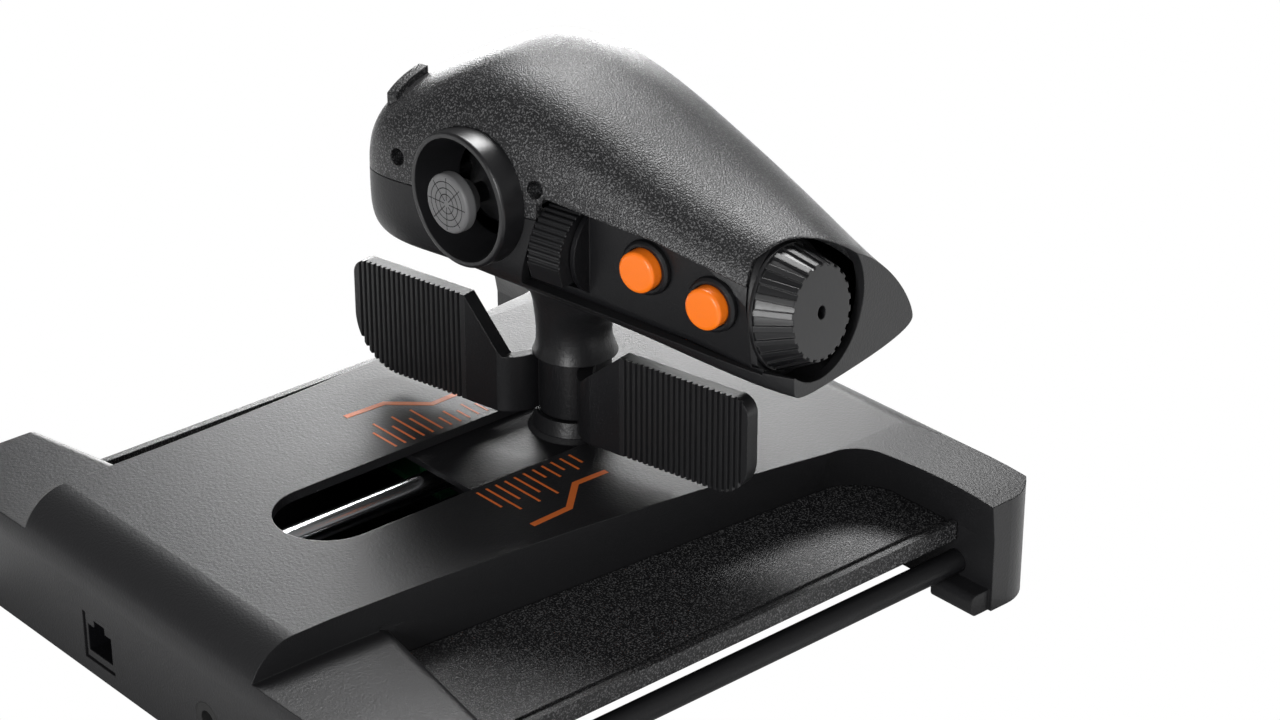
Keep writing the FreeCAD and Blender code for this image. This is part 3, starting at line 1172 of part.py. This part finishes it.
NODES = (
    ("top_cover", top_cover), ("bottom_shell", bottom_shell), ("ballast_plate", ballast_plate),
    ("left_side_tray", lambda: side_tray("left")), ("right_side_tray", lambda: side_tray("right")),
    ("left_side_rod", lambda: side_rod("left")), ("right_side_rod", lambda: side_rod("right")),
    ("left_guide_rail", lambda: guide_rail(-1)), ("right_guide_rail", lambda: guide_rail(1)),
    ("front_rail_holder", lambda: rail_holder(1)), ("rear_rail_holder", lambda: rail_holder(-1)),
    ("rubber_feet", rubber_feet), ("threaded_inserts", threaded_inserts), ("base_screws", base_screws),
    ("base_circuit_board", base_board), ("pedal_jack", pedal_jack), ("cable_gland", cable_gland),
    ("slide_sensor", slide_sensor), ("pinion_gear", pinion_gear), ("friction_screw", friction_screw),
    ("friction_pad", friction_pad), ("carriage", carriage), ("rail_bushes", rail_bushes),
    ("slot_cover", slot_cover), ("gear_rack", gear_rack), ("neck_column", neck_column), ("neck_collar",
                                                                                         neck_collar),
    ("rudder_rocker", rudder_rocker), ("left_paddle", lambda: paddle(-1, PADDLE_RIGHT)),
    ("right_paddle", lambda: paddle(1, PADDLE_LEFT)), ("grip_upper_shell",
                                                       grip_upper), ("grip_lower_shell", grip_lower),
    ("finger_panel", finger_panel), ("rocker_switch", rocker_switch), ("rocker_axle", rocker_axle),
    ("front_button_inner", lambda: front_button(*BUTTONS[0])), ("front_button_outer",
                                                                lambda: front_button(*BUTTONS[1])),
    ("button_bezels", button_bezels), ("front_switches", front_switches), ("antenna_knob", antenna_knob),
    ("knob_sensor", knob_sensor), ("stick_bezel", stick_bezel), ("stick_module", stick_module),
    ("stick_yoke", stick_yoke), ("stick_post", stick_post), ("stick_cap", stick_cap), ("thumb_panel",
                                                                                       thumb_panel),
    ("pov_hat", lambda: hat_cap(POV_HAT)), ("pov_hat_frame", lambda: hat_frame(POV_HAT)),
    ("hat_two", lambda: hat_cap(HAT_TWO)), ("hat_two_frame", lambda: hat_frame(HAT_TWO)),
    ("hat_three", lambda: hat_cap(HAT_THREE)), ("hat_three_frame", lambda: hat_frame(HAT_THREE)),
    ("hat_switches", hat_switches), ("thumb_button", thumb_button), ("grip_circuit_board", grip_board),
    ("grip_screws", grip_screws),
)

for name, maker in NODES:
    save(maker(), name)
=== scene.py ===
"""Desk throttle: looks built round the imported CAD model. Blender 4.5, metres."""
import bpy
import json
import math
from mathutils import Matrix, Vector


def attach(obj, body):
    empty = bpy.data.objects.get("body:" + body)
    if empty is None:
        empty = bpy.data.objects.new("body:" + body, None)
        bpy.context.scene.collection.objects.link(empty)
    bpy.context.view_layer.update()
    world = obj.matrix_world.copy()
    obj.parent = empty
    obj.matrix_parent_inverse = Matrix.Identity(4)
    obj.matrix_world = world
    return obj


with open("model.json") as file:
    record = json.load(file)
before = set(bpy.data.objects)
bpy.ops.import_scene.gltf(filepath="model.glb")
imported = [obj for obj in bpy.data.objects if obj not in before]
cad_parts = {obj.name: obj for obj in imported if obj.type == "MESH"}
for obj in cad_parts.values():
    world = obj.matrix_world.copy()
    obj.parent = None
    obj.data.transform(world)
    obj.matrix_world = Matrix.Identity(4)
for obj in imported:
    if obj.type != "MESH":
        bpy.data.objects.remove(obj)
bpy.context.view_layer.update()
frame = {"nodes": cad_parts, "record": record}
nodes = frame["nodes"]
record = frame["record"]
MM = 0.001
YAW = math.radians(11.0)      # the grip is turned this much on its neck
STICK_SWING = 9.0             # degrees the stick's axis is swung inside the grip
SPECKLE_DEPTH = 0.00016
SPECKLE_EDGE = 0.0006
SPECKLE_LIFT = 0.03


# ---------------------------------------------------------------- materials
def shader(name, colour, rough, metal=0.0, spec=0.5):
    """Material with its plain values on the shader's own sockets."""
    mat = bpy.data.materials.new(name)
    mat.use_nodes = True
    tree = mat.node_tree
    bsdf = tree.nodes["Principled BSDF"]
    bsdf.inputs["Base Color"].default_value = (*colour, 1.0)
    bsdf.inputs["Roughness"].default_value = rough
    bsdf.inputs["Metallic"].default_value = metal
    bsdf.inputs["Specular IOR Level"].default_value = spec
    return mat, tree, bsdf


def add(tree, kind, **values):
    """New node with settings and socket values."""
    node = tree.nodes.new(kind)
    for key, value in values.items():
        if hasattr(node, key):
            setattr(node, key, value)
        else:
            node.inputs[key.replace("_", " ")].default_value = value
    return node


def noise(tree, scale, detail=2.0, rough=0.5):
    """Noise in the object's own space, in metres."""
    where = add(tree, "ShaderNodeTexCoord")
    tex = add(tree, "ShaderNodeTexNoise")
    tex.inputs["Scale"].default_value = scale
    tex.inputs["Detail"].default_value = detail
    tex.inputs["Roughness"].default_value = rough
    tree.links.new(where.outputs["Object"], tex.inputs["Vector"])
    return tex


def remap(tree, socket, low, high, to_low, to_high):
    """Clamped change of range."""
    node = add(tree, "ShaderNodeMapRange")
    node.inputs["From Min"].default_value = low
    node.inputs["From Max"].default_value = high
    node.inputs["To Min"].default_value = to_low
    node.inputs["To Max"].default_value = to_high
    tree.links.new(socket, node.inputs["Value"])
    return node.outputs["Result"]


def grain(tree, bsdf, scale, depth, edge):
    """Moulded grain over slightly rounded edges."""
    bump = add(tree, "ShaderNodeBump")
    bump.inputs["Strength"].default_value = 1.0
    bump.inputs["Distance"].default_value = depth
    tree.links.new(noise(tree, scale, 3.0, 0.55).outputs["Fac"], bump.inputs["Height"])
    if edge:
        bevel = add(tree, "ShaderNodeBevel", samples=4)
        bevel.inputs["Radius"].default_value = edge
        tree.links.new(bevel.outputs["Normal"], bump.inputs["Normal"])
    tree.links.new(bump.outputs["Normal"], bsdf.inputs["Normal"])


def uneven_gloss(tree, bsdf, rough, lift):
    """Gloss that varies a little over a wide area, as on a handled moulding."""
    broad = noise(tree, 22.0, 2.0)
    gloss = remap(tree, broad.outputs["Fac"], 0.3, 0.7, rough - lift, rough + lift)
    tree.links.new(gloss, bsdf.inputs["Roughness"])


def plastic(name, colour, rough, scale, depth, edge=0.0004, lift=0.04, spec=0.5):
    """Moulded plastic with fine grain."""
    mat, tree, bsdf = shader(name, colour, rough, spec=spec)
    grain(tree, bsdf, scale, depth, edge)
    uneven_gloss(tree, bsdf, rough, lift)
    return mat


def speckled(name, colour, rough, painted_glint, scale=2300.0):
    """Dark textured plastic with a fine raised grain, plus painted glints: lighter grey flecks mixed into
    the base colour.
    """
    mat, tree, bsdf = shader(name, colour, rough)
    fine = noise(tree, scale, 1.5, 0.6)
    # painted glints: the lighter fleck colour goes into the base colour wherever the fine noise runs high
    mix = add(tree, "ShaderNodeMix", data_type="RGBA")
    mix.inputs[6].default_value = (*colour, 1.0)
    mix.inputs[7].default_value = (*painted_glint, 1.0)
    tree.links.new(remap(tree, fine.outputs["Fac"], 0.52, 0.66, 0.0, 1.0), mix.inputs[0])
    tree.links.new(mix.outputs[2], bsdf.inputs["Base Color"])
    bump = add(tree, "ShaderNodeBump")
    bump.inputs["Distance"].default_value = SPECKLE_DEPTH
    tree.links.new(fine.outputs["Fac"], bump.inputs["Height"])
    bevel = add(tree, "ShaderNodeBevel", samples=4)
    bevel.inputs["Radius"].default_value = SPECKLE_EDGE
    tree.links.new(bevel.outputs["Normal"], bump.inputs["Normal"])
    tree.links.new(bump.outputs["Normal"], bsdf.inputs["Normal"])
    broad = noise(tree, 70.0, 3.0)
    gloss = remap(tree, broad.outputs["Fac"], 0.35, 0.7, rough - SPECKLE_LIFT, rough + SPECKLE_LIFT)
    tree.links.new(gloss, bsdf.inputs["Roughness"])
    return mat


def metal(name, colour, rough, stretch, lift=0.06):
    """Bare metal with drawn or turned marks."""
    mat, tree, bsdf = shader(name, colour, rough, metal=1.0)
    where = add(tree, "ShaderNodeTexCoord")
    squeeze = add(tree, "ShaderNodeMapping")
    squeeze.inputs["Scale"].default_value = stretch
    tree.links.new(where.outputs["Object"], squeeze.inputs["Vector"])
    tex = add(tree, "ShaderNodeTexNoise")
    tex.inputs["Scale"].default_value = 40.0
    tex.inputs["Detail"].default_value = 4.0
    tree.links.new(squeeze.outputs["Vector"], tex.inputs["Vector"])
    gloss = remap(tree, tex.outputs["Fac"], 0.3, 0.7, max(0.03, rough - lift), rough + lift)
    tree.links.new(gloss, bsdf.inputs["Roughness"])
    bump = add(tree, "ShaderNodeBump")
    bump.inputs["Distance"].default_value = 0.00001
    tree.links.new(tex.outputs["Fac"], bump.inputs["Height"])
    tree.links.new(bump.outputs["Normal"], bsdf.inputs["Normal"])
    return mat


MATERIALS = {
    "dark_plastic": plastic("dark_plastic", (0.012, 0.012, 0.013), 0.39, 1500.0, 0.00007,
                            lift=0.02, spec=0.36),
    # speckled_plastic: the lighter grey (0.12) is the painted glint colour of its flecks
    "speckled_plastic": speckled("speckled_plastic", (0.007, 0.007, 0.008), 0.38, (0.12, 0.12, 0.122)),
    "panel_plastic": plastic("panel_plastic", (0.006, 0.006, 0.007), 0.36, 1500.0, 0.00004,
                             lift=0.02, spec=0.35),
    "black_plastic": plastic("black_plastic", (0.007, 0.007, 0.008), 0.42, 1300.0, 0.00006, spec=0.38),
    "cap_grey": plastic("cap_grey", (0.13, 0.13, 0.133), 0.45, 900.0, 0.00003),
    "gloss_black": plastic("gloss_black", (0.006, 0.006, 0.007), 0.22, 500.0, 0.00001),
    "knob_plastic": plastic("knob_plastic", (0.009, 0.009, 0.010), 0.30, 700.0, 0.00002),
    "paddle_plastic": plastic("paddle_plastic", (0.013, 0.013, 0.014), 0.40, 1300.0, 0.00005, edge=0.0002),
    "orange_plastic": plastic("orange_plastic", (1.0, 0.20, 0.008), 0.32, 600.0, 0.00001,
                              edge=0.0003, lift=0.03),
    "rail_steel": metal("rail_steel", (0.62, 0.63, 0.65), 0.18, (20.0, 0.2, 20.0), 0.02),
    "plate_steel": metal("plate_steel", (0.42, 0.43, 0.45), 0.34, (8.0, 8.0, 8.0)),
    "bronze": metal("bronze", (0.55, 0.33, 0.14), 0.34, (8.0, 30.0, 8.0)),
    "insert_brass": metal("insert_brass", (0.70, 0.50, 0.20), 0.28, (8.0, 8.0, 30.0)),
    "foot_rubber": plastic("foot_rubber", (0.012, 0.012, 0.012), 0.72, 1100.0, 0.00006),
    "board_green": plastic("board_green", (0.012, 0.070, 0.026), 0.34, 300.0, 0.00001),
}
for part in record["subparts"]:
    target = nodes[part["node"]]
    target.data.materials.clear()
    target.data.materials.append(MATERIALS[part["material_slot"]])
    target.data.polygons.foreach_set("material_index", [0] * len(target.data.polygons))

orange_ink, ink_tree, ink_bsdf = shader("orange_ink", (0.62, 0.14, 0.025), 0.5)
ink_gloss = remap(ink_tree, noise(ink_tree, 900.0).outputs["Fac"], 0.3, 0.7, 0.44, 0.58)
ink_tree.links.new(ink_gloss, ink_bsdf.inputs["Roughness"])


# ---------------------------------------------------------------- moulded web on the stick's cap
WEB_SUNK = 0.00005            # metres into the cap's face, so that the lines are seated
WEB_PROUD = 0.00008
WEB_HALF_LINE = 0.00013
WEB_RINGS = (0.34, 0.56, 0.78)  # shares of the face's radius
WEB_RING_STEPS = 36
WEB_SPOKES = 8
WEB_SPOKE_ENDS = (0.12, 0.93)
FACE_DEPTH = 0.0002           # points this near the front belong to the cap's face


def cap_web():
    """Rings and spokes standing just proud of the cap's face."""
    cap = nodes["stick_cap"]
    axis = Matrix.Rotation(YAW - math.radians(STICK_SWING), 3, "Z") @ Vector((0.0, 1.0, 0.0))
    points = [cap.matrix_world @ vertex.co for vertex in cap.data.vertices]
    front = max(point.dot(axis) for point in points)
    face = [point for point in points if point.dot(axis) > front - FACE_DEPTH]
    centre = sum(face, Vector()) / len(face)
    radius = max((point - centre).length for point in face)
    across = axis.cross(Vector((0.0, 0.0, 1.0))).normalized()
    up = across.cross(axis).normalized()
    verts, faces = [], []

    def plate(corners):
        start = len(verts)
        for lift in (-WEB_SUNK, WEB_PROUD):
            verts.extend(centre + across * u + up * v + axis * lift for u, v in corners)
        count = len(corners)
        faces.append(tuple(start + i for i in range(count))[::-1])
        faces.append(tuple(start + count + i for i in range(count)))
        faces.extend((start + i, start + (i + 1) % count, start + (i + 1) % count + count, start + i + count)
                     for i in range(count))

    line = WEB_HALF_LINE
    for share in WEB_RINGS:
        ring = radius * share
        for step in range(WEB_RING_STEPS):
            a = math.tau * step / WEB_RING_STEPS
            b = math.tau * (step + 1) / WEB_RING_STEPS
            plate([(math.cos(t) * r, math.sin(t) * r)
                   for t, r in ((a, ring - line), (b, ring - line), (b, ring + line), (a, ring + line))])
    for step in range(WEB_SPOKES):
        angle = math.tau * step / WEB_SPOKES
        way = Vector((math.cos(angle), math.sin(angle)))
        side = Vector((-way.y, way.x)) * line
        inner, outer = (way * radius * share for share in WEB_SPOKE_ENDS)
        plate([tuple(inner - side), tuple(outer - side), tuple(outer + side), tuple(inner + side)])
    mesh = bpy.data.meshes.new("stick_cap_web")
    mesh.from_pydata(verts, [], faces)
    mesh.update()
    web = bpy.data.objects.new("stick_cap_web", mesh)
    bpy.context.scene.collection.objects.link(web)
    web.data.materials.append(MATERIALS["gloss_black"])
    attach(web, "stick_top")


nodes["stick_cap"].data.materials.clear()
nodes["stick_cap"].data.materials.append(MATERIALS["cap_grey"])
cap_web()


# ---------------------------------------------------------------- printed marks on the deck
DECK_Z = 37.0
MARK_THICK = 0.05


def mark(name, outline):
    """Thin printed mark on the deck; its outline is in millimetres."""
    count = len(outline)
    verts = [(x * MM, y * MM, z * MM) for z in (DECK_Z, DECK_Z + MARK_THICK) for x, y in outline]
    faces = [tuple(range(count - 1, -1, -1)), tuple(range(count, 2 * count))]
    faces += [(i, (i + 1) % count, (i + 1) % count + count, i + count) for i in range(count)]
    mesh = bpy.data.meshes.new(name)
    mesh.from_pydata(verts, [], faces)
    mesh.update()
    made = bpy.data.objects.new(name, mesh)
    bpy.context.scene.collection.objects.link(made)
    made.data.materials.append(orange_ink)
    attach(made, "base")


def band(points, width):
    """Outline of a bent stripe of constant width."""
    left, right = [], []
    for index, point in enumerate(points):
        here = Vector(point)
        before = (here - Vector(points[index - 1])).normalized() if index else None
        after = (Vector(points[index + 1]) - here).normalized() if index < len(points) - 1 else None
        way = (before or after) + (after or before)
        way.normalize()
        side = Vector((-way.y, way.x))
        half = width / 2 / max(0.3, abs((before or after).dot(way)))
        left.append(tuple(here + side * half))
        right.append(tuple(here - side * half))
    return left + right[::-1]


TICK_START = 15.5
TICK_FIRST_Y = 14.9
TICK_PITCH = 2.85
TICK_HALF_WIDTH = 0.3
STRIPE_WIDTH = 1.7
STRIPE_PATH = ((36.0, 15.0), (35.5, 3.3), (27.4, -5.5), (27.7, -15.0))
TICK_LENGTHS = (9.3, 13.0, 9.0, 13.0, 9.5, 12.9, 5.0, 7.0, 5.0, 7.0, 5.0)
for side, sign in (("left", -1.0), ("right", 1.0)):
    for index, length in enumerate(TICK_LENGTHS):
        y = TICK_FIRST_Y - index * TICK_PITCH
        low, high = y - TICK_HALF_WIDTH, y + TICK_HALF_WIDTH
        ends = sorted((sign * TICK_START, sign * (TICK_START + length)))
        corners = [(ends[0], low), (ends[1], low), (ends[1], high), (ends[0], high)]
        mark("%s_tick_%02d" % (side, index + 1), corners)
    mark(side + "_stripe", band([(sign * x, y) for x, y in STRIPE_PATH], STRIPE_WIDTH))

# ---------------------------------------------------------------- camera, backdrop and light
CAMERA_PLACE = (-0.55245, 0.43745, 0.41364)
CAMERA_LENS = 92.8
SENSOR_WIDTH = 36.0
SKY_STRENGTH = 0.22
FLOOR_SIZE = 8.0
bearing = math.radians(41.43)
rise = math.radians(26.6)
away = Vector((-math.cos(bearing), math.sin(bearing), 0.0))
back = away * math.cos(rise) + Vector((0, 0, 1)) * math.sin(rise)
camera_data = bpy.data.cameras.new("camera")
camera_data.lens = CAMERA_LENS
camera_data.sensor_width = SENSOR_WIDTH
camera = bpy.data.objects.new("camera", camera_data)
bpy.context.scene.collection.objects.link(camera)
camera.location = CAMERA_PLACE
camera.rotation_euler = back.to_track_quat("Z", "Y").to_euler()
bpy.context.scene.camera = camera


def plain(name, colour, seen):
    """Stage surface: a fixed tone to the camera, a matt surface to everything else."""
    mat = bpy.data.materials.new(name)
    mat.use_nodes = True
    tree = mat.node_tree
    tree.nodes.clear()
    out = add(tree, "ShaderNodeOutputMaterial")
    matt = add(tree, "ShaderNodeBsdfDiffuse")
    matt.inputs["Color"].default_value = (*colour, 1.0)
    glow = add(tree, "ShaderNodeEmission")
    glow.inputs["Color"].default_value = (*seen, 1.0)
    path = add(tree, "ShaderNodeLightPath")
    mix = add(tree, "ShaderNodeMixShader")
    tree.links.new(path.outputs["Is Camera Ray"], mix.inputs[0])
    tree.links.new(matt.outputs[0], mix.inputs[1])
    tree.links.new(glow.outputs[0], mix.inputs[2])
    tree.links.new(mix.outputs[0], out.inputs["Surface"])
    return mat


bpy.ops.mesh.primitive_plane_add(size=FLOOR_SIZE, location=(0, 0, 0))
floor = bpy.context.object
floor.name = "floor"
floor.data.materials.append(plain("floor_white", (0.80, 0.80, 0.80), (1.0, 1.0, 1.0)))

world = bpy.data.worlds.new("world")
bpy.context.scene.world = world
world.use_nodes = True
sky = world.node_tree
sky.nodes["Background"].inputs["Color"].default_value = (1.0, 1.0, 1.0, 1.0)
sky.nodes["Background"].inputs["Strength"].default_value = SKY_STRENGTH
seen = sky.nodes.new("ShaderNodeBackground")
seen.inputs["Color"].default_value = (1.0, 1.0, 1.0, 1.0)
path = sky.nodes.new("ShaderNodeLightPath")
mix = sky.nodes.new("ShaderNodeMixShader")
sky.links.new(path.outputs["Is Camera Ray"], mix.inputs[0])
sky.links.new(sky.nodes["Background"].outputs[0], mix.inputs[1])
sky.links.new(seen.outputs[0], mix.inputs[2])
sky.links.new(mix.outputs[0], sky.nodes["World Output"].inputs["Surface"])


def softbox(name, place, aim, width, height, watts):
    """Rectangular studio light aimed at a point."""
    data = bpy.data.lights.new(name, "AREA")
    data.shape = "RECTANGLE"
    data.size = width
    data.size_y = height
    data.energy = watts
    lamp = bpy.data.objects.new(name, data)
    bpy.context.scene.collection.objects.link(lamp)
    lamp.location = place
    lamp.rotation_euler = (Vector(place) - Vector(aim)).to_track_quat("Z", "Y").to_euler()


softbox("rear_right_near", (0.47, -0.40, 0.16), (0.06, -0.08, 0.05), 0.34, 0.14, 2.5)
softbox("top_panel", (0.45, -0.62, 1.05), (0.0, -0.02, 0.08), 0.6, 0.4, 15.0)
softbox("left_strip", (-0.55, 1.15, 0.40), (0.0, 0.0, 0.09), 0.30, 0.5, 11.0)
softbox("left_side", (-1.25, -0.15, 0.70), (0.0, 0.0, 0.07), 0.6, 0.6, 3.0)

bpy.context.scene.view_settings.view_transform = "Standard"
bpy.context.view_layer.update()
